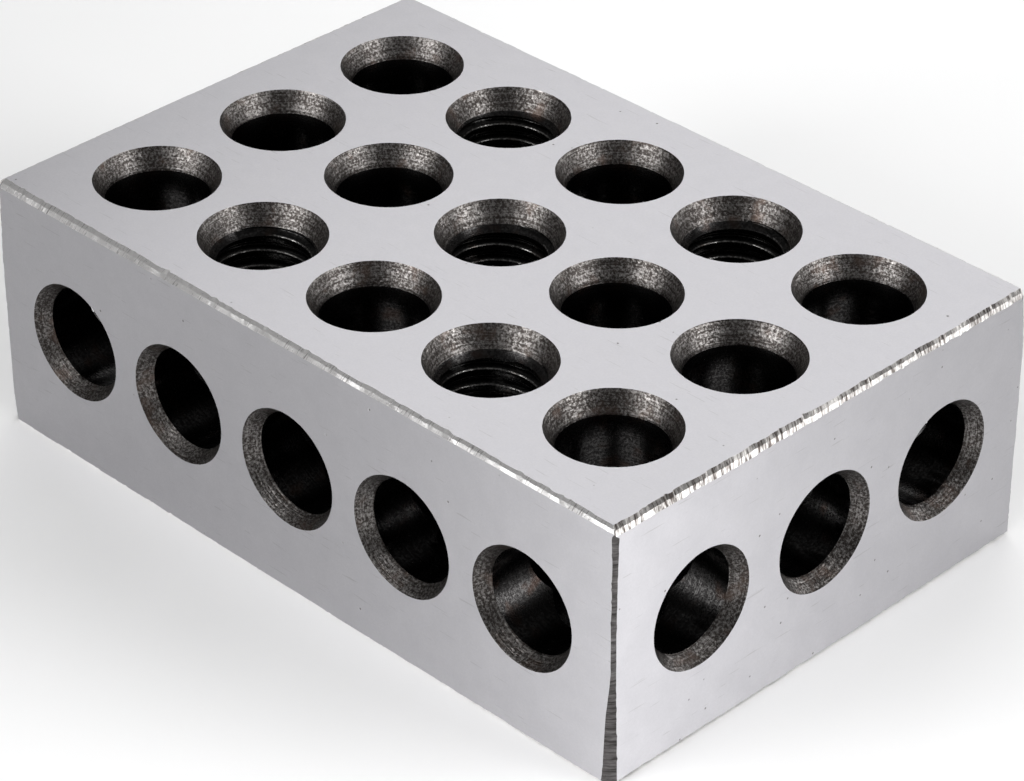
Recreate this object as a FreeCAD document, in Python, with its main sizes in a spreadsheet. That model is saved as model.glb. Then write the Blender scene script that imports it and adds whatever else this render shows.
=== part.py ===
import FreeCAD, Part
import math
import os

import Sketcher

# Machinist setup block: one hardened, ground steel block, three by two by one inch, with
# through holes from all three directions on one lattice, so that every bore crosses others
# at mid height. The block stands on its large face, with its length along X.

# Holes in one row along the length, the width and the height.
ALONG = 5
ACROSS = 3

doc = FreeCAD.newDocument("setup_block")

# ---------------------------------------------------------------- driving dimensions
# millimetres, and degrees for the angles
SIZES = (
    # the ground envelope
    ("block_length", 76.2),
    ("block_width", 50.8),
    ("block_height", 25.4),
    # centre of the outermost holes to the face beside them
    ("end_margin", 10.1),
    ("side_margin", 10.4),
    # three-eighths inch: a plain bore, and the drill and the thread of a tapped hole
    ("bore_diameter", 9.5),
    ("tap_drill_diameter", 8.4),
    # countersunk mouths: how far each stands out round the bore, and its included angle
    ("top_mouth_flare", 1.0),
    ("top_mouth_angle", 54.0),
    ("side_mouth_flare", 0.9),
    ("side_mouth_angle", 66.0),
    # the ground break along the edges of the two large faces
    ("edge_break", 0.65),
    # the upright edges were broken by hand, so each break tapers between four levels
    ("shoulder_drop", 6.5),
    ("knee_rise", 5.0),
    ("front_break_top", 0.5),
    ("front_break_shoulder", 0.32),
    ("front_break_knee", 0.65),
    ("front_break_base", 1.0),
    ("left_break_top", 0.9),
    ("left_break_shoulder", 0.5),
    ("left_break_knee", 0.55),
    ("left_break_base", 0.75),
    ("right_break_top", 1.0),
    ("right_break_shoulder", 0.3),
    ("right_break_knee", 0.2),
    ("right_break_base", 0.2),
    ("back_break_top", 0.8),
    ("back_break_shoulder", 0.4),
    ("back_break_knee", 0.4),
    ("back_break_base", 0.7),
    # how far the cutter for an upright edge reaches out into the air, and to each side
    ("cutter_reach", 5.0),
)

sheet = doc.addObject("Spreadsheet::Sheet", "sizes")
for row, (alias, value) in enumerate(SIZES, start=1):
    sheet.set(f"A{row}", alias)
    sheet.set(f"B{row}", str(value))
    sheet.setAlias(f"B{row}", alias)
doc.recompute()

# ---------------------------------------------------------------- the body
# Its own XY, XZ and YZ planes are the block's three middle planes: every hole is drilled from
# one face and its far mouth is the mirror image.
body = doc.addObject("PartDesign::Body", "setup_block")
body.Label = "setup_block"
body.setExpression("Placement.Base.z", "sizes.block_height / 2")
ORIGIN = {feature.Role: feature for feature in body.Origin.OriginFeatures}


def new_sketch(name, plane, offset):
    """A sketch on one of the block's middle planes, moved along its normal by an expression."""
    sketch = body.newObject("Sketcher::SketchObject", name)
    sketch.AttachmentSupport = [(ORIGIN[plane], "")]
    sketch.MapMode = "FlatFace"
    if offset:
        sketch.setExpression("AttachmentOffset.Base.z", offset)
    return sketch


def dimension(sketch, kind, *where, size):
    """A driving dimension of a sketch, bound to an expression over the sheet."""
    index = sketch.addConstraint(Sketcher.Constraint(kind, *where))
    sketch.setExpression(f"Constraints[{index}]", size)


def closed_outline(sketch, corners):
    """Straight lines from corner to corner, joined at their ends; returns their numbers."""
    lines = []
    for start, end in zip(corners, corners[1:] + corners[:1]):
        segment = Part.LineSegment(FreeCAD.Vector(*start, 0), FreeCAD.Vector(*end, 0))
        lines.append(sketch.addGeometry(segment, False))
    for line, following in zip(lines, lines[1:] + lines[:1]):
        sketch.addConstraint(Sketcher.Constraint("Coincident", line, 2, following, 1))
    return lines


# ---------------------------------------------------------------- the blank
blank_sketch = new_sketch("blank_outline", "XY_Plane", None)
bottom, right, top, left = closed_outline(blank_sketch, [(-30, -20), (30, -20), (30, 20), (-30, 20)])
for line in (bottom, top):
    blank_sketch.addConstraint(Sketcher.Constraint("Horizontal", line))
for line in (right, left):
    blank_sketch.addConstraint(Sketcher.Constraint("Vertical", line))
blank_sketch.addConstraint(Sketcher.Constraint("Symmetric", bottom, 1, top, 1, -1, 1))
dimension(blank_sketch, "DistanceX", bottom, 1, bottom, 2, 60.0, size="sizes.block_length")
dimension(blank_sketch, "DistanceY", right, 1, right, 2, 40.0, size="sizes.block_width")

blank = body.newObject("PartDesign::Pad", "blank")
blank.Profile = blank_sketch
blank.SideType = "Symmetric"
blank.setExpression("Length", "sizes.block_height")
doc.recompute()

# ---------------------------------------------------------------- edges of the large faces


def level_edges(shape):
    """The names of the edges that lie level, all round the two large faces."""
    names = []
    for number, edge in enumerate(shape.Edges, start=1):
        if abs(edge.Vertexes[0].Z - edge.Vertexes[-1].Z) < 1e-6:
            names.append(f"Edge{number}")
    return names


level_breaks = body.newObject("PartDesign::Chamfer", "level_edge_breaks")
level_breaks.Base = (blank, level_edges(blank.Shape))
level_breaks.setExpression("Size", "sizes.edge_break")
doc.recompute()

# ---------------------------------------------------------------- the upright edges
LEVELS = {
    "base": "-sizes.block_height / 2",
    "knee": "-sizes.block_height / 2 + sizes.knee_rise",
    "shoulder": "sizes.block_height / 2 - sizes.shoulder_drop",
    "top": "sizes.block_height / 2",
}
# corner name: the side of the middle that it lies on, along X and along Y
CORNERS = {"front": (1, -1), "left": (-1, -1), "right": (1, 1), "back": (-1, 1)}


def break_corner(corner, lower, upper):
    """Takes an upright edge off between two levels, as deep at each as the sheet says."""
    toward_x, toward_y = CORNERS[corner]
    wedge = body.newObject("PartDesign::SubtractiveWedge", f"{corner}_{lower}_to_{upper}")
    wedge.AttachmentSupport = [(ORIGIN["XY_Plane"], "")]
    wedge.MapMode = "FlatFace"
    # The wedge's own X points straight out of the corner, and its own Y up along the edge.
    upward = FreeCAD.Rotation(FreeCAD.Vector(1, 0, 0), 90)
    outward = FreeCAD.Rotation(FreeCAD.Vector(0, 0, 1), math.degrees(math.atan2(toward_y, toward_x)))
    wedge.AttachmentOffset = FreeCAD.Placement(FreeCAD.Vector(), outward * upward)
    bindings = {
        "AttachmentOffset.Base.x": f"{toward_x} * sizes.block_length / 2",
        "AttachmentOffset.Base.y": f"{toward_y} * sizes.block_width / 2",
        "AttachmentOffset.Base.z": LEVELS[lower],
        "Ymax": f"({LEVELS[upper]}) - ({LEVELS[lower]})",
        "Xmin": f"-sizes.{corner}_break_{lower} / sqrt(2)",
        "X2min": f"-sizes.{corner}_break_{upper} / sqrt(2)",
    }
    for far_end in ("Xmax", "X2max", "Zmax", "Z2max"):
        bindings[far_end] = "sizes.cutter_reach"
    for near_end in ("Zmin", "Z2min"):
        bindings[near_end] = "-sizes.cutter_reach"
    wedge.Ymin = 0
    for name, size in bindings.items():
        wedge.setExpression(name, size)
    doc.recompute()


for corner in CORNERS:
    for lower, upper in zip(list(LEVELS), list(LEVELS)[1:]):
        break_corner(corner, lower, upper)

# ---------------------------------------------------------------- the holes
HOLE_PITCH = {
    "along": f"(sizes.block_length - 2 * sizes.end_margin) / {ALONG - 1}",
    "across": f"(sizes.block_width - 2 * sizes.side_margin) / {ACROSS - 1}",
}


def lattice(count):
    """Steps from the middle hole of a row to each hole, such as -2 to 2 for five holes."""
    return [step - (count - 1) // 2 for step in range(count)]


def hole_centres(name, plane, offset, centres, rows):
    """Circles at lattice steps (a, b); rows names the pitch along each axis of the sketch."""
    sketch = new_sketch(name, plane, offset)
    for steps in centres:
        centre = FreeCAD.Vector(steps[0] * 12, steps[1] * 12, 0)
        circle = sketch.addGeometry(Part.Circle(centre, FreeCAD.Vector(0, 0, 1), 4.0), False)
        for kind, axis, step, row in zip(("DistanceX", "DistanceY"), (-2, -1), steps, rows):
            if step == 0:
                sketch.addConstraint(Sketcher.Constraint("PointOnObject", circle, 3, axis))
            else:
                dimension(sketch, kind, -1, 1, circle, 3, step * 12.0,
                          size=f"{step} * {HOLE_PITCH[row]}")
        dimension(sketch, "Diameter", circle, 8.0, size="sizes.bore_diameter")
    return sketch


def drill(name, sketch, diameter, face, mirror_plane):
    """Countersunk through holes from one face, then the same mouths on the face opposite."""
    doc.recompute()
    hole = body.newObject("PartDesign::Hole", name)
    hole.Profile = sketch
    doc.recompute()
    hole.ThreadType = "None"
    hole.DepthType = "ThroughAll"
    hole.HoleCutType = "Countersink"
    hole.setExpression("Diameter", diameter)
    hole.setExpression("HoleCutDiameter", f"sizes.bore_diameter + 2 * sizes.{face}_mouth_flare")
    hole.setExpression("HoleCutCountersinkAngle", f"sizes.{face}_mouth_angle")
    doc.recompute()
    mirrored = body.newObject("PartDesign::Mirrored", f"{name}_far_side")
    mirrored.Originals = [hole]
    mirrored.MirrorPlane = (ORIGIN[mirror_plane], [""])
    body.Tip = mirrored
    doc.recompute()


# On the large faces the tapped holes make a saltire: the middle one and the four beside it.
all_centres = [(a, b) for a in lattice(ALONG) for b in lattice(ACROSS)]
tapped_centres = [(a, b) for a, b in all_centres if abs(a) == abs(b)]
plain_centres = [centre for centre in all_centres if centre not in tapped_centres]

top_face = "sizes.block_height / 2"
plain_sketch = hole_centres("plain_hole_centres", "XY_Plane", top_face, plain_centres,
                            ("along", "across"))
drill("plain_holes", plain_sketch, "sizes.bore_diameter", "top", "XY_Plane")

tapped_sketch = hole_centres("tapped_hole_centres", "XY_Plane", top_face, tapped_centres,
                             ("along", "across"))
drill("tapped_holes", tapped_sketch, "sizes.tap_drill_diameter", "top", "XY_Plane")

side_sketch = hole_centres("side_hole_centres", "XZ_Plane", "sizes.block_width / 2",
                           [(a, 0) for a in lattice(ALONG)], ("along", "along"))
drill("side_holes", side_sketch, "sizes.bore_diameter", "side", "XZ_Plane")

end_sketch = hole_centres("end_hole_centres", "YZ_Plane", "sizes.block_length / 2",
                          [(b, 0) for b in lattice(ACROSS)], ("across", "across"))
drill("end_holes", end_sketch, "sizes.bore_diameter", "side", "YZ_Plane")

# ---------------------------------------------------------------- checks and files
failed = [item.Name for item in doc.Objects if {"Invalid", "Error"} & set(item.State)]
if failed:
    raise RuntimeError(f"features failed: {failed}")

os.makedirs("parts", exist_ok=True)
for sub_part in doc.findObjects("PartDesign::Body"):
    if sub_part.Shape.isNull() or not sub_part.Shape.isValid():
        raise RuntimeError(f"{sub_part.Label} has no valid shape")
    if len(sub_part.Shape.Solids) != 1:
        raise RuntimeError(f"{sub_part.Label} is {len(sub_part.Shape.Solids)} solids")
    sub_part.Shape.exportStep(f"parts/{sub_part.Label}.step")
    box = sub_part.Shape.BoundBox
    print(sub_part.Label, "volume", round(sub_part.Shape.Volume, 1),
          "box", [round(v, 3) for v in (box.XMin, box.YMin, box.ZMin, box.XMax, box.YMax, box.ZMax)])
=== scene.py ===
import math
import random

import bmesh
import bpy
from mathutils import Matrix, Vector


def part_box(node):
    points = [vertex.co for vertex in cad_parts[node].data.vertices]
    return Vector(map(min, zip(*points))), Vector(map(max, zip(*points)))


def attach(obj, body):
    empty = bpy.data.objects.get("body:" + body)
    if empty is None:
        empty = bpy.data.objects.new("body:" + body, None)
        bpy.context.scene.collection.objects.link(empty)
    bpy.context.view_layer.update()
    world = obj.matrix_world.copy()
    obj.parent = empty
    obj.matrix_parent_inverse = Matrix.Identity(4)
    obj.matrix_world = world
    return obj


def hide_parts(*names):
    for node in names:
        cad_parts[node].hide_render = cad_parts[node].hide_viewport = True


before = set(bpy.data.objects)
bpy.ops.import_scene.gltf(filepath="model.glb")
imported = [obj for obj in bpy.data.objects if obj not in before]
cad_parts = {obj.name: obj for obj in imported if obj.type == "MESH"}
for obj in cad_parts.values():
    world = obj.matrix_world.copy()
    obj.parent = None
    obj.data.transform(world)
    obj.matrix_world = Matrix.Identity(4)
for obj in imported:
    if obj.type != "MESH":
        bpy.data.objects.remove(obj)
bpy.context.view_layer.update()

# --- The blank ---------------------------------------------------------------------------
# The body of the set-up block: one bar of hardened alloy steel, ground square on all six
# faces. Its twelve edges are broken afterwards by hand on a belt, so no two are quite alike.
MM = 0.001
low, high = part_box("setup_block")
half_size = ((high[0] - low[0]) / 2 / MM, (high[1] - low[1]) / 2 / MM, (high[2] - low[2]) / 2 / MM)
mid_height = half_size[2]
GROUND_LONG, GROUND_END, EDGE_ALONG, EDGE_ACROSS, EDGE_UPRIGHT = 1, 2, 3, 4, 5
COUNTERSINK, BORE, THREAD, CREST_PAINTED_HIGHLIGHT = 6, 7, 8, 9

# Each edge: the axis that it runs along, then the side of the block on the other two axes.
# Rows: place along the edge, then how far the break reaches over each of its two faces (mm).
edge_breaks = {
    (0, -1, 1): [(-38, 0.62, 0.80), (-20, 0.50, 0.66), (10, 0.42, 0.55), (38, 0.42, 0.50)],
    (0, 1, 1): [(-38, 0.50, 0.50), (0, 0.35, 0.40), (38, 0.45, 0.60)],
    (0, -1, -1): [(-38, 0.30, 0.40), (5, 0.22, 0.35), (38, 0.35, 0.45)],
    (0, 1, -1): [(-38, 0.40, 0.40), (0, 0.30, 0.30), (38, 0.45, 0.40)],
    (1, 1, 1): [(-25, 0.62, 0.66), (-8, 0.60, 0.62), (12, 0.52, 0.50), (25, 0.60, 0.58)],
    (1, -1, 1): [(-25, 0.60, 0.70), (0, 0.45, 0.55), (25, 0.50, 0.60)],
    (1, 1, -1): [(-25, 0.35, 0.40), (0, 0.25, 0.35), (25, 0.30, 0.40)],
    (1, -1, -1): [(-25, 0.40, 0.45), (0, 0.30, 0.35), (25, 0.40, 0.45)],
    (2, 1, -1): [(-12.7, 0.85, 1.0), (-10.7, 0.80, 0.80), (-5.7, 0.62, 0.60), (-2.7, 0.50, 0.30),
                 (-1.2, 0.45, 0.18), (4.3, 0.40, 0.25), (9.3, 0.40, 0.22), (11.8, 0.48, 0.36),
                 (12.7, 0.14, 0.10)],
    (2, -1, -1): [(-12.7, 0.80, 0.90), (-9, 0.60, 0.58), (5, 0.50, 0.50), (9.3, 0.60, 0.75),
                  (12.7, 0.80, 0.88)],
    (2, 1, 1): [(-12.7, 0.10, 0.15), (0, 0.18, 0.20), (7.3, 0.27, 0.30), (9.3, 0.50, 0.45),
                (12.7, 0.98, 0.85)],
    (2, -1, 1): [(-12.7, 0.60, 0.70), (-4, 0.40, 0.45), (6, 0.40, 0.40), (12.7, 0.80, 0.70)],
}
# How ragged the border of each break is on its two faces (mm); the rest are 0.04 on both.
ragged = {(0, -1, 1): (0.018, 0.075), (1, 1, 1): (0.060, 0.085), (2, 1, -1): (0.030, 0.030)}


def reach(rows, place, which):
    """The break's reach at a place along its edge, read between the two nearest rows."""
    for before, after in zip(rows, rows[1:]):
        if place <= after[0]:
            share = max(0.0, (place - before[0]) / (after[0] - before[0]))
            return before[which] + share * (after[which] - before[which])
    return rows[-1][which]


def belt_marks(hand, count, size):
    """Raggedness along a border: a slow wander, small steps of a few samples, single nicks."""
    marks = []
    wander, step = 0.0, 0.0
    for sample in range(count + 1):
        wander = 0.92 * wander + hand.uniform(-0.45, 0.45) * size
        if hand.random() < 0.35:
            step = hand.uniform(-1.0, 1.0) * size
        nick = hand.uniform(1.0, 2.2) * size if hand.random() < 0.04 else 0.0
        fade = min(1.0, sample / 4.0, (count - sample) / 4.0)
        marks.append(fade * (0.5 * wander + step + nick))
    return marks


def ground_blank():
    """Six flat faces with ragged outlines, and between them the narrow broken edges."""
    hand = random.Random(1208)
    points, faces, finishes = [], [], []
    outline = {}        # (edge, face axis) -> point numbers along the edge on that face
    crown = {}          # edge -> point numbers along its middle

    def add(place):
        points.append((place[0] * MM, place[1] * MM, (place[2] + mid_height) * MM))
        return len(points) - 1

    def end_reach(edge_axis, face_axis, signs):
        """Reach over face_axis's face of the edge along edge_axis at the corner with these signs."""
        others = [axis for axis in (0, 1, 2) if axis != edge_axis]
        rows = edge_breaks[(edge_axis, signs[others[0]], signs[others[1]])]
        row = rows[-1] if signs[edge_axis] > 0 else rows[0]
        return row[1 + others.index(face_axis)]

    corner_point = {}
    for sx in (-1, 1):
        for sy in (-1, 1):
            for sz in (-1, 1):
                signs = (sx, sy, sz)
                for face_axis in (0, 1, 2):
                    place = [0, 0, 0]
                    place[face_axis] = signs[face_axis] * half_size[face_axis]
                    for other in [axis for axis in (0, 1, 2) if axis != face_axis]:
                        along = 3 - face_axis - other
                        inward = end_reach(along, face_axis, signs)
                        place[other] = signs[other] * (half_size[other] - inward)
                    corner_point[(signs, face_axis)] = add(place)

    for edge, rows in edge_breaks.items():
        axis, first, second = edge
        others = [other for other in (0, 1, 2) if other != axis]
        count = int(half_size[axis] * 2 / 0.3)
        start, end = [0, 0, 0], [0, 0, 0]
        start[axis], end[axis] = -1, 1
        for other, sign in zip(others, (first, second)):
            start[other] = end[other] = sign
        sizes = ragged.get(edge, (0.04, 0.04))
        for which, face_axis in enumerate(others):
            inward_axis = others[1 - which]
            from_point = corner_point[(tuple(start), face_axis)]
            to_point = corner_point[(tuple(end), face_axis)]
            from_place = points[from_point][axis] / MM - (mid_height if axis == 2 else 0)
            to_place = points[to_point][axis] / MM - (mid_height if axis == 2 else 0)
            marks = belt_marks(hand, count, sizes[which])
            numbers = [from_point]
            for sample in range(1, count):
                place = [0, 0, 0]
                place[axis] = from_place + (to_place - from_place) * sample / count
                place[face_axis] = start[face_axis] * half_size[face_axis]
                inward = max(0.02, reach(rows, place[axis], 1 + which) + marks[sample])
                place[inward_axis] = start[inward_axis] * (half_size[inward_axis] - inward)
                numbers.append(add(place))
            numbers.append(to_point)
            outline[(edge, face_axis)] = numbers
        numbers = []
        for one, two in zip(outline[(edge, others[0])], outline[(edge, others[1])]):
            a, b = Vector(points[one]) / MM, Vector(points[two]) / MM
            middle = (a + b) / 2
            middle[2] -= mid_height
            bulge = (a - b).length * 0.06 + hand.uniform(-0.010, 0.010)
            for other in others:
                middle[other] += start[other] * bulge * 0.7
            numbers.append(add(middle))
        crown[edge] = numbers

    def ring(face_axis, sign):
        """The face's outline: its four borders joined end to end, seen from outside."""
        one, two = [axis for axis in (0, 1, 2) if axis != face_axis]
        loop = []
        for moving, fixed, side, forward in ((one, two, -1, True), (two, one, 1, True),
                                             (one, two, 1, False), (two, one, -1, False)):
            signs = {face_axis: sign, fixed: side}
            others = [axis for axis in (0, 1, 2) if axis != moving]
            numbers = outline[((moving, signs[others[0]], signs[others[1]]), face_axis)]
            loop += numbers[:-1] if forward else numbers[:0:-1]
        return loop

    for face_axis in (0, 1, 2):
        for sign in (-1, 1):
            faces.append(ring(face_axis, sign))
            finishes.append(GROUND_END if face_axis == 0 else GROUND_LONG)
    edge_finish = {0: EDGE_ALONG, 1: EDGE_ACROSS, 2: EDGE_UPRIGHT}
    for edge, middle in crown.items():
        axis, first, second = edge
        others = [other for other in (0, 1, 2) if other != axis]
        for which, face_axis in enumerate(others):
            side = outline[(edge, face_axis)]
            for sample in range(len(side) - 1):
                quad = [side[sample], side[sample + 1], middle[sample + 1], middle[sample]]
                faces.append(quad)
                finishes.append(edge_finish[axis])
    for sx in (-1, 1):
        for sy in (-1, 1):
            for sz in (-1, 1):
                signs = (sx, sy, sz)
                loop = []
                for face_axis in (0, 1, 2):
                    loop.append(corner_point[(signs, face_axis)])
                    edge_axis = (face_axis + 2) % 3
                    others = [axis for axis in (0, 1, 2) if axis != edge_axis]
                    middle = crown[(edge_axis, signs[others[0]], signs[others[1]])]
                    loop.append(middle[-1] if signs[edge_axis] > 0 else middle[0])
                centre = sum((Vector(points[number]) for number in loop), Vector()) / len(loop)
                tip = len(points)
                points.append(tuple(centre + Vector(signs) * 0.02 * MM))
                for one, two in zip(loop, loop[1:] + loop[:1]):
                    faces.append((one, two, tip))
                    finishes.append(EDGE_ACROSS if sz > 0 else EDGE_UPRIGHT)
    return points, faces, finishes


def steel_object(name, points, faces, finishes, tool_path=None):
    """A mesh object whose faces know their finish, and their corners where the tool ran."""
    mesh = bpy.data.meshes.new(name)
    mesh.from_pydata(points, [], faces)
    shell = bmesh.new()
    shell.from_mesh(mesh)
    bmesh.ops.recalc_face_normals(shell, faces=shell.faces)
    shell.to_mesh(mesh)
    shell.free()
    mesh.attributes.new("finish", "INT", "FACE").data.foreach_set("value", finishes)
    path = mesh.attributes.new("tool_path", "FLOAT_VECTOR", "CORNER")
    if tool_path:
        numbers = [0] * len(mesh.loops)
        mesh.loops.foreach_get("vertex_index", numbers)
        path.data.foreach_set("vector", [part for number in numbers for part in tool_path[number]])
    made = bpy.data.objects.new(name, mesh)
    bpy.context.scene.collection.objects.link(made)
    return made


blank = steel_object("block_blank", *ground_blank())

# --- Drills ------------------------------------------------------------------------------
# What the drill and the countersink take out of each hole, as closed turned shapes that run
# right through the block: a cone at both mouths and a plain bore between, with light chatter.
AROUND = 96
bore_radius, tap_drill_radius = 4.75, 4.10
top_mouth_radius, top_cone_angle = 5.75, math.radians(27)
side_mouth_radius, side_cone_angle = 5.65, math.radians(33)
PAST_THE_FACE = 0.8


def turned_drill(name, axis, half_length, bore, mouth, angle, rings, seed, lead_in=None):
    """A double-ended drill and countersink along one axis, its middle at the block's middle.

    With lead_in, a tapping drill: the cone ends at bore, and a bevel runs on in to lead_in."""
    hand = random.Random(seed)
    cone_depth = (mouth - bore) / math.tan(angle)
    cone_rows = 6
    rows = []       # (radius, place along the axis, finish of the band below, chatter)
    top = half_length + PAST_THE_FACE
    bottom_of_cone = half_length - cone_depth
    for row in range(cone_rows + 1):
        place = top + (bottom_of_cone - top) * row / cone_rows
        radius = bore + (place - bottom_of_cone) * math.tan(angle)
        rows.append((radius, place, COUNTERSINK, 0.010 if row < cone_rows else 0.004))
    rows[cone_rows] = (bore, bottom_of_cone, BORE, 0.004)
    if lead_in:
        bevel = bottom_of_cone - (bore - lead_in)
        rows += [(lead_in, bevel, BORE, 0.0), (lead_in, -bevel, BORE, 0.0)]
    else:
        rows += [(bore, bottom_of_cone * (1 - 2 * row / rings), BORE, 0.004) for row in range(1, rings)]
    for row in range(cone_rows + 1):
        place = -bottom_of_cone - (top - bottom_of_cone) * row / cone_rows
        radius = bore + (-place - bottom_of_cone) * math.tan(angle)
        rows.append((radius, place, COUNTERSINK, 0.010 if row else 0.004))
    points, path, faces, finishes = [], [], [], []
    lobes = [(count, hand.uniform(0.004, 0.012), hand.uniform(0, 6.28)) for count in (2, 3, 5)]
    for radius, place, finish, chatter in rows:
        for step in range(AROUND):
            turn = 2 * math.pi * step / AROUND
            swing = sum(size * math.sin(count * turn + start) for count, size, start in lobes)
            swing *= 1.0 if finish == COUNTERSINK else 0.3
            real = radius + swing + hand.uniform(-chatter, chatter)
            across, up = real * math.cos(turn) * MM, real * math.sin(turn) * MM
            along = place * MM
            points.append({2: (across, up, along), 1: (up, along, across), 0: (along, across, up)}[axis])
            path.append((math.cos(turn), math.sin(turn), half_length - abs(place)))
    for row in range(len(rows) - 1):
        for step in range(AROUND):
            after = (step + 1) % AROUND
            faces.append((row * AROUND + after, row * AROUND + step,
                          (row + 1) * AROUND + step, (row + 1) * AROUND + after))
            finishes.append(rows[row][2])
    faces.append(tuple(range(AROUND)))
    faces.append(tuple((len(rows) - 1) * AROUND + step for step in reversed(range(AROUND))))
    finishes += [COUNTERSINK, COUNTERSINK]
    return steel_object(name, points, faces, finishes, path)


top_drill = turned_drill("top_drill", 2, half_size[2], bore_radius, top_mouth_radius,
                         top_cone_angle, 8, 21)
tapping_drill = turned_drill("tapping_drill", 2, half_size[2], bore_radius, top_mouth_radius,
                             top_cone_angle, 2, 22, lead_in=tap_drill_radius)
side_drill = turned_drill("side_drill", 1, half_size[1], bore_radius, side_mouth_radius,
                          side_cone_angle, 14, 23)
end_drill = turned_drill("end_drill", 0, half_size[0], bore_radius, side_mouth_radius,
                         side_cone_angle, 20, 24)

# --- Tap ---------------------------------------------------------------------------------
# Five of the upright holes carry a coarse inch thread, cut right through by a hand tap. The
# tap is one ribbon wound round the hole: a flat land, two 60 degree flanks, a rounded root.
thread_pitch = 1.5875
# The rounded edges of each land take the bright crest finish: a painted highlight on the thread.
thread_form = [(4.20, 0.260, THREAD), (4.225, 0.330, CREST_PAINTED_HIGHLIGHT), (4.30, 0.400, CREST_PAINTED_HIGHLIGHT), (4.74, 0.655, THREAD),
               (4.79, 0.760, THREAD), (4.79, 0.830, THREAD), (4.74, 0.933, THREAD),
               (4.30, 1.188, THREAD), (4.225, 1.258, CREST_PAINTED_HIGHLIGHT), (4.20, 1.328, CREST_PAINTED_HIGHLIGHT)]
ROUND_THE_THREAD = 48


def wound_tap(name):
    """The thread as a closed screw; each turn's last line is the next turn's first."""
    hand = random.Random(25)
    lines = len(thread_form)
    start = -(half_size[2] - 1.4)
    turns = int(2 * (half_size[2] - 1.4) / thread_pitch)
    steps = turns * ROUND_THE_THREAD
    points, path, faces, finishes = [], [], [], []

    def add(radius, turn, place):
        points.append((radius * math.cos(turn) * MM, radius * math.sin(turn) * MM, place * MM))
        path.append((math.cos(turn), math.sin(turn), half_size[2] - abs(place)))
        return len(points) - 1

    for step in range(steps + ROUND_THE_THREAD + 1):
        turn = 2 * math.pi * step / ROUND_THE_THREAD
        for radius, along, _ in thread_form:
            if step > steps and radius != thread_form[0][0]:
                break
            add(radius + hand.uniform(-0.006, 0.006), turn,
                start + thread_pitch * step / ROUND_THE_THREAD + along)
            if step > steps:
                break

    def number(step, line):
        if line == lines:
            step, line = step + ROUND_THE_THREAD, 0
        if step > steps:
            return (steps + 1) * lines + (step - steps - 1)
        return step * lines + line

    for step in range(steps):
        for line in range(lines):
            faces.append((number(step, line), number(step + 1, line),
                          number(step + 1, line + 1), number(step, line + 1)))
            finishes.append(thread_form[(line + 1) % lines][2])
    for top in (False, True):
        place = start - 0.3 if not top else start + thread_pitch * (turns + 1) + 0.6
        flat = [add(thread_form[0][0], 2 * math.pi * step / ROUND_THE_THREAD, place)
                for step in range(ROUND_THE_THREAD)]
        first = steps if top else 0
        for step in range(ROUND_THE_THREAD):
            after = (step + 1) % ROUND_THE_THREAD
            quad = [number(first + step, 0), number(first + step + 1, 0), flat[after], flat[step]]
            faces.append(quad)
            finishes.append(THREAD)
        faces.append([flat[0]] + [number(first, line) for line in range(lines + 1)])
        faces.append(flat)
        finishes += [THREAD, THREAD]
    return steel_object(name, points, faces, finishes, path)


tap = wound_tap("thread_tap")

# --- Finishes ----------------------------------------------------------------------------
# Bare steel throughout: pale where the stones ran last, white and streaked on the belted
# edges, brown-black scale in the holes, and near-black on the upright edges.


def put(tree, kind, **settings):
    """Adds a node, with its settings."""
    made = tree.nodes.new(kind)
    for name, value in settings.items():
        setattr(made, name, value)
    return made


def start_steel(name):
    """A new bare-metal finish: its tree, its shader and its coordinates in millimetres."""
    finish = bpy.data.materials.new(name)
    finish.use_nodes = True
    tree = finish.node_tree
    shader = tree.nodes["Principled BSDF"]
    shader.inputs["Metallic"].default_value = 1.0
    place = put(tree, "ShaderNodeTexCoord")
    in_mm = put(tree, "ShaderNodeMapping")
    in_mm.inputs["Scale"].default_value = (1000, 1000, 1000)
    tree.links.new(place.outputs["Object"], in_mm.inputs["Vector"])
    return finish, tree, shader, in_mm.outputs["Vector"]


def stretched(tree, vector, scale):
    """The same coordinates, drawn out along the way that the stone or the tool ran."""
    mapping = put(tree, "ShaderNodeMapping")
    mapping.inputs["Scale"].default_value = scale
    tree.links.new(vector, mapping.inputs["Vector"])
    return mapping.outputs["Vector"]


def noise(tree, vector, scale, detail=2.0, rough=0.5, distortion=0.0):
    """Cloudy noise, scale cells to a unit of the vector."""
    made = put(tree, "ShaderNodeTexNoise")
    made.inputs["Scale"].default_value = scale
    made.inputs["Detail"].default_value = detail
    made.inputs["Roughness"].default_value = rough
    made.inputs["Distortion"].default_value = distortion
    tree.links.new(vector, made.inputs["Vector"])
    return made.outputs["Fac"]


def between(tree, value, low_in, high_in, low_out=0.0, high_out=1.0):
    """Spreads value's range from low_in..high_in to low_out..high_out, held at both ends."""
    made = put(tree, "ShaderNodeMapRange", clamp=True)
    for name, number in (("From Min", low_in), ("From Max", high_in), ("To Min", low_out),
                         ("To Max", high_out)):
        made.inputs[name].default_value = number
    tree.links.new(value, made.inputs["Value"])
    return made.outputs["Result"]


def joined(tree, operation, one, two):
    """Two values put together, or a value and a plain number."""
    made = put(tree, "ShaderNodeMath", operation=operation)
    for socket, value in zip(made.inputs, (one, two)):
        if isinstance(value, (int, float)):
            socket.default_value = value
        else:
            tree.links.new(value, socket)
    return made.outputs["Value"]


def blended(tree, share, one, two):
    """Two colours mixed by share; a colour is a socket or four numbers."""
    made = put(tree, "ShaderNodeMix", data_type="RGBA")
    sockets = [socket for socket in made.inputs if socket.type == "RGBA"]
    for socket, colour in zip(sockets, (one, two)):
        if isinstance(colour, tuple):
            socket.default_value = colour
        else:
            tree.links.new(colour, socket)
    tree.links.new(share, made.inputs["Factor"])
    return [socket for socket in made.outputs if socket.type == "RGBA"][0]


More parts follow.
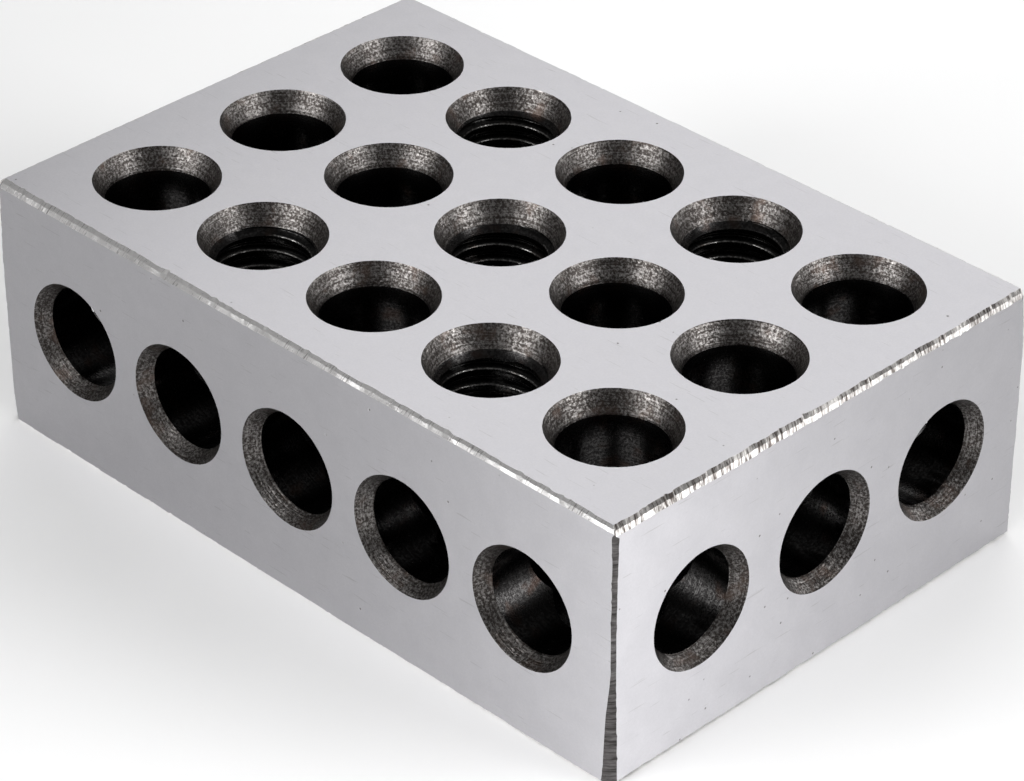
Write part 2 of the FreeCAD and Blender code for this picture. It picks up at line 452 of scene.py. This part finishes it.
def raised(tree, shader, layers):
    """Bumps on the shader, one over the other: (height, how high in mm)."""
    normal = None
    for height, size in layers:
        made = put(tree, "ShaderNodeBump")
        made.inputs["Strength"].default_value = 1.0
        made.inputs["Distance"].default_value = size * MM
        tree.links.new(height, made.inputs["Height"])
        if normal is not None:
            tree.links.new(normal, made.inputs["Normal"])
        normal = made.outputs["Normal"]
    tree.links.new(normal, shader.inputs["Normal"])


def ground_steel(name, stone_way):
    """Surface-ground steel: short faint lines one way, a fine frosting, pits and hairlines."""
    finish, tree, shader, mm = start_steel(name)
    lines = noise(tree, stretched(tree, mm, stone_way), 1.0, 3.0, 0.6)
    frosting = noise(tree, mm, 5.5, 3.0, 0.65)
    mottling = noise(tree, mm, 0.35, 3.0, 0.6)
    hair_way = tuple(0.10 if way < 1 else 2.2 for way in stone_way)
    hairs = noise(tree, stretched(tree, mm, hair_way), 3.0, 1.0, 0.4, 0.25)
    hairs = between(tree, hairs, 0.735, 0.76)
    cells = put(tree, "ShaderNodeTexVoronoi")
    cells.inputs["Scale"].default_value = 0.55
    tree.links.new(mm, cells.inputs["Vector"])
    pick = put(tree, "ShaderNodeSeparateColor")
    tree.links.new(cells.outputs["Color"], pick.inputs["Color"])
    few = joined(tree, "GREATER_THAN", pick.outputs["Red"], 0.72)
    pit = between(tree, cells.outputs["Distance"], 0.04, 0.075, 1.0, 0.0)
    pits = joined(tree, "MULTIPLY", pit, few)
    tone = blended(tree, between(tree, mottling, 0.3, 0.7), (0.535, 0.528, 0.552, 1),
                   (0.575, 0.567, 0.590, 1))
    tone = blended(tree, between(tree, frosting, 0.25, 0.75, 0.0, 0.30), tone, (0.42, 0.415, 0.43, 1))
    tone = blended(tree, joined(tree, "MULTIPLY", hairs, 0.35), tone, (0.30, 0.29, 0.29, 1))
    tone = blended(tree, joined(tree, "MULTIPLY", pits, 0.8), tone, (0.10, 0.09, 0.085, 1))
    tree.links.new(tone, shader.inputs["Base Color"])
    tree.links.new(between(tree, mottling, 0.3, 0.7, 0.385, 0.415), shader.inputs["Roughness"])
    shader.inputs["Anisotropic"].default_value = 0.95
    stone = put(tree, "ShaderNodeCombineXYZ")
    stone.inputs["X" if stone_way[0] < 1 else "Y"].default_value = 1.0
    spread_way = put(tree, "ShaderNodeVectorMath", operation="CROSS_PRODUCT")
    tree.links.new(put(tree, "ShaderNodeNewGeometry").outputs["True Normal"], spread_way.inputs[0])
    tree.links.new(stone.outputs["Vector"], spread_way.inputs[1])
    tree.links.new(spread_way.outputs["Vector"], shader.inputs["Tangent"])
    raised(tree, shader, ((lines, 0.0012), (frosting, 0.0018), (pits, -0.02)))
    return finish


def belted_edge(name, across_way, dark_from, dark_to, light, dark, tilt):
    """A broken edge: short belt marks straight across it, white metal and darker ticks."""
    finish, tree, shader, mm = start_steel(name)
    turned = put(tree, "ShaderNodeMapping")
    turned.inputs["Rotation"].default_value = tilt
    tree.links.new(mm, turned.inputs["Vector"])
    ticks = noise(tree, stretched(tree, turned.outputs["Vector"], across_way), 1.0, 3.0, 0.7)
    patches = noise(tree, mm, 0.5, 2.0, 0.6)
    specks = noise(tree, mm, 6.0, 2.0, 0.6)
    drift = joined(tree, "MULTIPLY", joined(tree, "SUBTRACT", patches, 0.5), 0.35)
    amount = joined(tree, "ADD", ticks, drift)
    tone = blended(tree, between(tree, amount, dark_from, dark_to), dark, light)
    tone = blended(tree, between(tree, specks, 0.62, 0.72, 0.0, 0.5), tone, dark)
    tree.links.new(tone, shader.inputs["Base Color"])
    tree.links.new(between(tree, ticks, 0.3, 0.7, 0.46, 0.30), shader.inputs["Roughness"])
    raised(tree, shader, ((ticks, 0.030), (specks, 0.006)))
    return finish


def hole_steel(name, light, dark, rust, rough, ring_size, fleck_size):
    """Inside a hole: heat-treatment scale over turned rings, flecked where it has chipped."""
    finish, tree, shader, mm = start_steel(name)
    path = put(tree, "ShaderNodeAttribute", attribute_name="tool_path").outputs["Vector"]
    rings = noise(tree, stretched(tree, path, (0.55, 0.55, 9.0)), 1.0, 3.0, 0.65)
    flecks = noise(tree, stretched(tree, path, (9.0, 9.0, 4.0)), 1.0, 3.0, 0.7)
    specks = noise(tree, mm, 4.5, 3.0, 0.7)
    patches = noise(tree, mm, 0.45, 2.0, 0.6)
    amount = joined(tree, "ADD", joined(tree, "MULTIPLY", specks, 0.7), joined(tree, "MULTIPLY", rings, 0.3))
    tone = blended(tree, between(tree, amount, 0.46, 0.66), dark, light)
    tone = blended(tree, between(tree, patches, 0.56, 0.72, 0.0, 0.7), tone, rust)
    tree.links.new(tone, shader.inputs["Base Color"])
    tree.links.new(between(tree, amount, 0.35, 0.65, rough + 0.1, rough - 0.05), shader.inputs["Roughness"])
    raised(tree, shader, ((rings, ring_size), (flecks, fleck_size), (specks, fleck_size * 0.6)))
    return finish


finish_of = {
    GROUND_LONG: ground_steel("ground_steel_long", (0.35, 7.0, 7.0)),
    GROUND_END: ground_steel("ground_steel_ends", (7.0, 0.35, 7.0)),
    EDGE_ALONG: belted_edge("belted_edge_along", (4.5, 0.4, 0.4), 0.30, 0.44, (0.90, 0.885, 0.88, 1),
                            (0.30, 0.285, 0.28, 1), (0, 0, 0)),
    EDGE_ACROSS: belted_edge("belted_edge_across", (0.5, 3.6, 0.5), 0.40, 0.60, (0.74, 0.72, 0.70, 1),
                             (0.10, 0.085, 0.078, 1), (0.5, 0, 0)),
    # The upright edges are given a near-black colour, darker than the other edge breaks.
    EDGE_UPRIGHT: belted_edge("dark_edge_upright", (0.4, 0.4, 3.2), 0.35, 0.70, (0.19, 0.18, 0.18, 1),
                              (0.045, 0.041, 0.040, 1), (0, 0, 0)),
    COUNTERSINK: hole_steel("countersink_scale", (0.36, 0.345, 0.335, 1), (0.046, 0.040, 0.037, 1),
                            (0.105, 0.075, 0.062, 1), 0.33, 0.035, 0.05),
    BORE: hole_steel("bore_scale", (0.075, 0.073, 0.072, 1), (0.018, 0.017, 0.017, 1),
                     (0.040, 0.026, 0.021, 1), 0.24, 0.012, 0.008),
    THREAD: hole_steel("thread_scale", (0.06, 0.058, 0.056, 1), (0.012, 0.012, 0.012, 1),
                       (0.030, 0.024, 0.021, 1), 0.25, 0.010, 0.012),
    # Bright metal on the rounded thread crests: a painted highlight.
    CREST_PAINTED_HIGHLIGHT: hole_steel("thread_crest_painted_highlight", (0.42, 0.41, 0.40, 1), (0.060, 0.058, 0.056, 1),
                      (0.075, 0.060, 0.052, 1), 0.26, 0.010, 0.010),
}

# --- Drilling ----------------------------------------------------------------------------
# All 23 holes: upright ones on a 5 by 3 lattice, tapped where the steps along and across are
# equal, five through the long sides and three through the ends. They cross inside the block.
pitch_along, pitch_across = 14.0, 15.0


def drilling_tree():
    """The jig: named sizes in, the drills set on their pitches, and each family cut in turn."""
    tree = bpy.data.node_groups.new("drilling_jig", "GeometryNodeTree")
    inputs = (("Blank", "NodeSocketGeometry", None), ("Holes Along", "NodeSocketInt", 5),
              ("Holes Across", "NodeSocketInt", 3), ("Pitch Along", "NodeSocketFloat", 0.014),
              ("Pitch Across", "NodeSocketFloat", 0.015), ("Middle Height", "NodeSocketFloat", 0.0127),
              ("Top Drill", "NodeSocketObject", None), ("Tapping Drill", "NodeSocketObject", None),
              ("Tap", "NodeSocketObject", None), ("Side Drill", "NodeSocketObject", None),
              ("End Drill", "NodeSocketObject", None), ("Seed", "NodeSocketInt", 7))
    for name, kind, value in inputs:
        socket = tree.interface.new_socket(name=name, in_out="INPUT", socket_type=kind)
        if value is not None:
            socket.default_value = value
    tree.interface.new_socket(name="Block", in_out="OUTPUT", socket_type="NodeSocketGeometry")
    given = put(tree, "NodeGroupInput").outputs

    def link(one, two):
        tree.links.new(one, two)

    def sums(operation, one, two=None, integer=False):
        made = put(tree, "ShaderNodeMath", operation=operation)
        for socket, value in zip(made.inputs, (one, two)):
            if isinstance(value, (int, float)):
                socket.default_value = value
            elif value is not None:
                link(value, socket)
        return made.outputs[0]

    def lattice(count_along, count_across):
        """One point per hole, and its steps from the middle along and across."""
        total = sums("MULTIPLY", count_along, count_across)
        row = put(tree, "GeometryNodePoints")
        link(total, row.inputs["Count"])
        index = put(tree, "GeometryNodeInputIndex").outputs["Index"]
        half_along = sums("MULTIPLY", sums("SUBTRACT", count_along, 1.0), 0.5)
        half_across = sums("MULTIPLY", sums("SUBTRACT", count_across, 1.0), 0.5)
        along = sums("SUBTRACT", sums("FLOORED_MODULO", index, count_along), half_along)
        across = sums("SUBTRACT", sums("FLOOR", sums("DIVIDE", index, count_along)), half_across)
        place = put(tree, "ShaderNodeCombineXYZ")
        link(sums("MULTIPLY", along, given["Pitch Along"]), place.inputs["X"])
        link(sums("MULTIPLY", across, given["Pitch Across"]), place.inputs["Y"])
        link(given["Middle Height"], place.inputs["Z"])
        link(place.outputs["Vector"], row.inputs["Position"])
        tapped = sums("COMPARE", sums("ABSOLUTE", along), sums("ABSOLUTE", across))
        tapped.node.inputs[2].default_value = 0.1
        return row.outputs["Points"], tapped

    def cut(block, holes, tool, spin_axis, chosen=None, seed_step=0):
        """Sets the tool on the holes, each turned by chance about its own axis, and cuts."""
        item = put(tree, "GeometryNodeObjectInfo")
        link(given[tool], item.inputs["Object"])
        spin = put(tree, "FunctionNodeRandomValue", data_type="FLOAT")
        floats = [socket for socket in spin.inputs if socket.type == "VALUE"]
        floats[0].default_value, floats[1].default_value = 0.0, 2 * math.pi
        link(sums("ADD", given["Seed"], float(seed_step)), spin.inputs["Seed"])
        angle = put(tree, "ShaderNodeCombineXYZ")
        result = [socket for socket in spin.outputs if socket.type == "VALUE" and socket.enabled][0]
        link(result, angle.inputs[spin_axis])
        setting = put(tree, "GeometryNodeInstanceOnPoints")
        link(holes, setting.inputs["Points"])
        link(item.outputs["Geometry"], setting.inputs["Instance"])
        link(angle.outputs["Vector"], setting.inputs["Rotation"])
        if chosen is not None:
            link(chosen, setting.inputs["Selection"])
        numbered = put(tree, "GeometryNodeStoreNamedAttribute", data_type="FLOAT", domain="INSTANCE")
        numbered.inputs["Name"].default_value = "hole"
        link(setting.outputs["Instances"], numbered.inputs["Geometry"])
        index = put(tree, "GeometryNodeInputIndex").outputs["Index"]
        link(sums("ADD", sums("MULTIPLY", index, 7.3), 31.0 * seed_step), numbered.inputs["Value"])
        real = put(tree, "GeometryNodeRealizeInstances")
        link(numbered.outputs["Geometry"], real.inputs["Geometry"])
        hole = put(tree, "GeometryNodeInputNamedAttribute", data_type="FLOAT")
        hole.inputs["Name"].default_value = "hole"
        path = put(tree, "GeometryNodeInputNamedAttribute", data_type="FLOAT_VECTOR")
        path.inputs["Name"].default_value = "tool_path"
        shift = put(tree, "ShaderNodeCombineXYZ")
        link(hole.outputs["Attribute"], shift.inputs["Z"])
        moved = put(tree, "ShaderNodeVectorMath", operation="ADD")
        link(path.outputs["Attribute"], moved.inputs[0])
        link(shift.outputs["Vector"], moved.inputs[1])
        marked = put(tree, "GeometryNodeStoreNamedAttribute", data_type="FLOAT_VECTOR", domain="CORNER")
        marked.inputs["Name"].default_value = "tool_path"
        link(real.outputs["Geometry"], marked.inputs["Geometry"])
        link(moved.outputs["Vector"], marked.inputs["Value"])
        cutting = put(tree, "GeometryNodeMeshBoolean", operation="DIFFERENCE", solver="MANIFOLD")
        link(block, cutting.inputs["Mesh 1"])
        link(marked.outputs["Geometry"], cutting.inputs["Mesh 2"])
        return cutting.outputs["Mesh"]

    upright, tapped = lattice(given["Holes Along"], given["Holes Across"])
    through_sides, _ = lattice(given["Holes Along"], 1)
    through_ends, _ = lattice(1, given["Holes Across"])
    plain = sums("SUBTRACT", 1.0, tapped)
    block = cut(given["Blank"], upright, "Top Drill", "Z", plain, 0)
    block = cut(block, upright, "Tapping Drill", "Z", tapped, 1)
    block = cut(block, upright, "Tap", "Z", tapped, 2)
    block = cut(block, through_sides, "Side Drill", "Y", None, 3)
    block = cut(block, through_ends, "End Drill", "X", None, 4)
    real = put(tree, "GeometryNodeRealizeInstances")
    link(block, real.inputs["Geometry"])
    block = real.outputs["Geometry"]
    for number, finish in finish_of.items():
        known = put(tree, "GeometryNodeInputNamedAttribute", data_type="INT")
        known.inputs["Name"].default_value = "finish"
        same = put(tree, "FunctionNodeCompare", data_type="INT", operation="EQUAL")
        sockets = [socket for socket in same.inputs if socket.type == "INT"]
        link([out for out in known.outputs if out.name == "Attribute" and out.enabled][0], sockets[0])
        sockets[1].default_value = number
        dressed = put(tree, "GeometryNodeSetMaterial")
        dressed.inputs["Material"].default_value = finish
        link(block, dressed.inputs["Geometry"])
        link(same.outputs["Result"], dressed.inputs["Selection"])
        block = dressed.outputs["Geometry"]
    out = put(tree, "NodeGroupOutput")
    link(block, out.inputs["Block"])
    return tree


jig = blank.modifiers.new("drilling", "NODES")
jig.node_group = drilling_tree()
jig_sizes = {"Holes Along": 5, "Holes Across": 3, "Pitch Along": pitch_along * MM,
             "Pitch Across": pitch_across * MM, "Middle Height": mid_height * MM, "Top Drill": top_drill,
             "Tapping Drill": tapping_drill, "Tap": tap, "Side Drill": side_drill,
             "End Drill": end_drill, "Seed": 7}
for socket in jig.node_group.interface.items_tree:
    if socket.in_out == "INPUT" and socket.name in jig_sizes:
        jig[socket.identifier] = jig_sizes[socket.name]
drilled = bpy.data.meshes.new_from_object(blank.evaluated_get(bpy.context.evaluated_depsgraph_get()))
blank.modifiers.remove(jig)
for tool in (blank, top_drill, tapping_drill, tap, side_drill, end_drill):
    bpy.data.objects.remove(tool)
for name in ("finish", "hole"):
    if name in drilled.attributes:
        drilled.attributes.remove(drilled.attributes[name])
drilled.name = "setup_block_steel"
while None in drilled.materials[:]:
    empty = drilled.materials[:].index(None)
    drilled.materials.pop(index=empty)


def shake_out_chips(mesh):
    """Drops the few slivers that the cutting leaves loose in a hole, and keeps the block."""
    shell = bmesh.new()
    shell.from_mesh(mesh)
    loose_parts, met = [], set()
    for corner in shell.verts:
        if corner in met:
            continue
        met.add(corner)
        part, front = [corner], [corner]
        while front:
            for edge in front.pop().link_edges:
                for other in edge.verts:
                    if other not in met:
                        met.add(other)
                        part.append(other)
                        front.append(other)
        loose_parts.append(part)
    loose_parts.sort(key=len)
    chips = [corner for part in loose_parts[:-1] for corner in part]
    bmesh.ops.delete(shell, geom=chips, context="VERTS")
    shell.to_mesh(mesh)
    shell.free()


shake_out_chips(drilled)
edges_of_belt = {index for index, finish in enumerate(drilled.materials) if "_edge_" in finish.name}
drilled.shade_smooth()
drilled.set_sharp_from_angle(angle=math.radians(32))
for face in drilled.polygons:
    if face.material_index in edges_of_belt:
        face.use_smooth = False
steel_block = bpy.data.objects.new("setup_block_steel", drilled)
bpy.context.scene.collection.objects.link(steel_block)
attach(steel_block, "root")
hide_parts("setup_block")

# --- Bench -------------------------------------------------------------------------------
# A plain white sheet under the block. Near it the sheet takes the lamps and the block's
# shadow; further out it is even white to the eye and in the metal.


def bench_sheet():
    """A flat round sheet in rings, its middle under the block's middle."""
    reach_out, ways = 1.5, 64
    points = [(0, 0, 0)]
    faces = []
    for radius in (0.1, 0.3, 0.7, reach_out):
        for way in range(ways):
            turn = 2 * math.pi * way / ways
            points.append((radius * math.cos(turn), radius * math.sin(turn), 0))
    for way in range(ways):
        after = (way + 1) % ways
        faces.append((0, 1 + way, 1 + after))
        for band in range(3):
            inner, outer = 1 + band * ways, 1 + (band + 1) * ways
            faces.append((inner + way, outer + way, outer + after, inner + after))
    mesh = bpy.data.meshes.new("bench_sheet")
    mesh.from_pydata(points, [], faces)
    made = bpy.data.objects.new("bench_sheet", mesh)
    bpy.context.scene.collection.objects.link(made)
    return made


def seen_rays(tree):
    """1 for what the eye sees straight, in metal or through glass; 0 for light that spreads."""
    path = put(tree, "ShaderNodeLightPath").outputs
    total = joined(tree, "ADD", path["Is Camera Ray"], path["Is Glossy Ray"])
    total = joined(tree, "ADD", total, path["Is Transmission Ray"])
    return joined(tree, "MINIMUM", total, 1.0)


bench = bench_sheet()
paper = bpy.data.materials.new("white_paper")
paper.use_nodes = True
tree = paper.node_tree
tree.nodes.remove(tree.nodes["Principled BSDF"])
matt = put(tree, "ShaderNodeBsdfDiffuse")
matt.inputs["Color"].default_value = (0.92, 0.92, 0.92, 1)
even = put(tree, "ShaderNodeEmission")
even.inputs["Strength"].default_value = 1.0
place = put(tree, "ShaderNodeTexCoord").outputs["Object"]
distance = put(tree, "ShaderNodeVectorMath", operation="LENGTH")
tree.links.new(place, distance.inputs[0])
even_from, even_to = 0.10, 0.24
far = between(tree, distance.outputs["Value"], even_from, even_to)
mixed = put(tree, "ShaderNodeMixShader")
tree.links.new(joined(tree, "MULTIPLY", seen_rays(tree), far), mixed.inputs["Fac"])
tree.links.new(matt.outputs["BSDF"], mixed.inputs[1])
tree.links.new(even.outputs["Emission"], mixed.inputs[2])
tree.links.new(mixed.outputs["Shader"], tree.nodes["Material Output"].inputs["Surface"])
bench.data.materials.append(paper)

# --- Lamps and camera --------------------------------------------------------------------
# Two tall soft boxes stand to the left and the right of the camera's line, with two small
# reflectors and four low lamps that whiten the bench, all inside an even white tent.
block_middle = Vector((0, 0, mid_height * MM))


def soft_box(name, azimuth, elevation, width, tall, watts, away=0.45):
    """A soft box at an angle round the block and an angle above the bench, facing the block."""
    data = bpy.data.lights.new(name, "AREA")
    data.shape = "RECTANGLE"
    data.size, data.size_y = width, tall
    data.energy = watts
    lamp = bpy.data.objects.new(name, data)
    bpy.context.scene.collection.objects.link(lamp)
    turn, rise = math.radians(azimuth), math.radians(elevation)
    lamp.location = (away * math.cos(rise) * math.cos(turn), away * math.cos(rise) * math.sin(turn),
                     away * math.sin(rise) + block_middle.z)
    lamp.rotation_euler = (block_middle - lamp.location).to_track_quat("-Z", "Y").to_euler()
    lamp.visible_camera = False
    return lamp


soft_box("soft_box_left", 259, 18, 0.24, 0.29, 1.62)
soft_box("soft_box_right", 21, 18, 0.21, 0.29, 1.30)
soft_box("reflector_low", 67, 9, 0.175, 0.14, 0.42)
soft_box("reflector_behind", 135, 46, 0.36, 0.16, 0.60)


low_lamp_height = 0.10


def bench_lamp(name, x, y, size, watts):
    """A small lamp close over the bench that whitens the sheet near the block."""
    data = bpy.data.lights.new(name, "AREA")
    data.size = size
    data.energy = watts
    lamp = bpy.data.objects.new(name, data)
    bpy.context.scene.collection.objects.link(lamp)
    lamp.location = (x, y, low_lamp_height)
    lamp.visible_camera = lamp.visible_glossy = False


bench_lamp("bench_lamp_near", 0.060, -0.050, 0.05, 0.037)
bench_lamp("bench_lamp_right", 0.085, -0.030, 0.05, 0.008)
bench_lamp("bench_lamp_behind_left", -0.060, 0.080, 0.06, 0.017)
bench_lamp("bench_lamp_behind", -0.005, 0.100, 0.06, 0.017)

world = bpy.data.worlds.new("white_tent")
bpy.context.scene.world = world
world.use_nodes = True
world.node_tree.nodes["Background"].inputs["Color"].default_value = (1, 1, 1, 1)
world.node_tree.nodes["Background"].inputs["Strength"].default_value = 0.20

aim = Vector((0.00196, -0.00042, 0.01012))
azimuth, elevation, distance_out = math.radians(-45.151), math.radians(33.090), 0.34116
camera_data = bpy.data.cameras.new("camera")
camera_data.sensor_width = 36.0
camera_data.lens = 135.64
camera_data.clip_start = 0.01
camera = bpy.data.objects.new("camera", camera_data)
bpy.context.scene.collection.objects.link(camera)
back = Vector((math.cos(elevation) * math.cos(azimuth), math.cos(elevation) * math.sin(azimuth),
               math.sin(elevation)))
camera.location = aim + back * distance_out
facing = back.to_track_quat("Z", "Y").to_matrix()
roll = math.radians(0.278)
right = facing.col[0] * math.cos(roll) + facing.col[1] * math.sin(roll)
up = facing.col[1] * math.cos(roll) - facing.col[0] * math.sin(roll)
facing.col[0], facing.col[1] = right, up
camera.rotation_euler = facing.to_euler()
bpy.context.scene.camera = camera
bpy.context.scene.view_settings.view_transform = "Standard"
